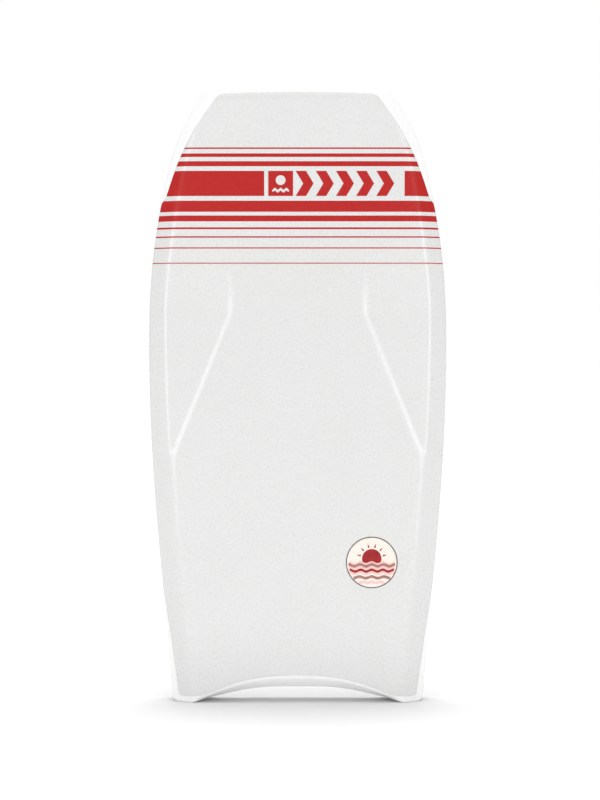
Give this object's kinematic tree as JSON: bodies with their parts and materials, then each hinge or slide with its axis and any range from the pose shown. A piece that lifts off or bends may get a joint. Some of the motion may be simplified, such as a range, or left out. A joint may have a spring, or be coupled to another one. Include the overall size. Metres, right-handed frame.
{
  "type": "bodyboard",
  "caption": "White bodyboard with red stripes across the nose, chined rails, forearm recesses and a crescent tail, standing on its tail.",
  "frame": {"origin": "on the ground plane under the middle of the board's bounding box, as it stands on its tail pegs", "axes": "+Z along the board from tail to nose; the deck faces -Y and the slick +Y; +X to the right seen from the deck side"},
  "size_m": [0.5186, 0.0633, 1.067],
  "materials": {
    "deck_foam": "matte",
    "deck_print": "satin",
    "rail_foam": "satin",
    "bumper_foam": "satin",
    "slick_sheet": "gloss",
    "core_foam": "matte",
    "mesh_net": "satin",
    "stringer_fibre": "satin",
    "cap_plastic": "matte"
  },
  "bodies": {
    "root": {"deck_skin": "deck_foam", "bottom_slick": "slick_sheet", "core_mesh": "mesh_net", "foam_core": "core_foam", "stringer_tube": "stringer_fibre", "stringer_cap_front": "cap_plastic", "stringer_cap_rear": "cap_plastic", "stringer_plug": "core_foam", "rail_upper_left": "rail_foam", "rail_upper_right": "rail_foam", "rail_lower_left": "rail_foam", "rail_lower_right": "rail_foam", "nose_bumper_upper": "bumper_foam", "nose_bumper_lower": "bumper_foam", "tail_bumper_left": "bumper_foam", "tail_bumper_right": "bumper_foam", "tail_rail": "rail_foam"}
  },
  "joints": []
}
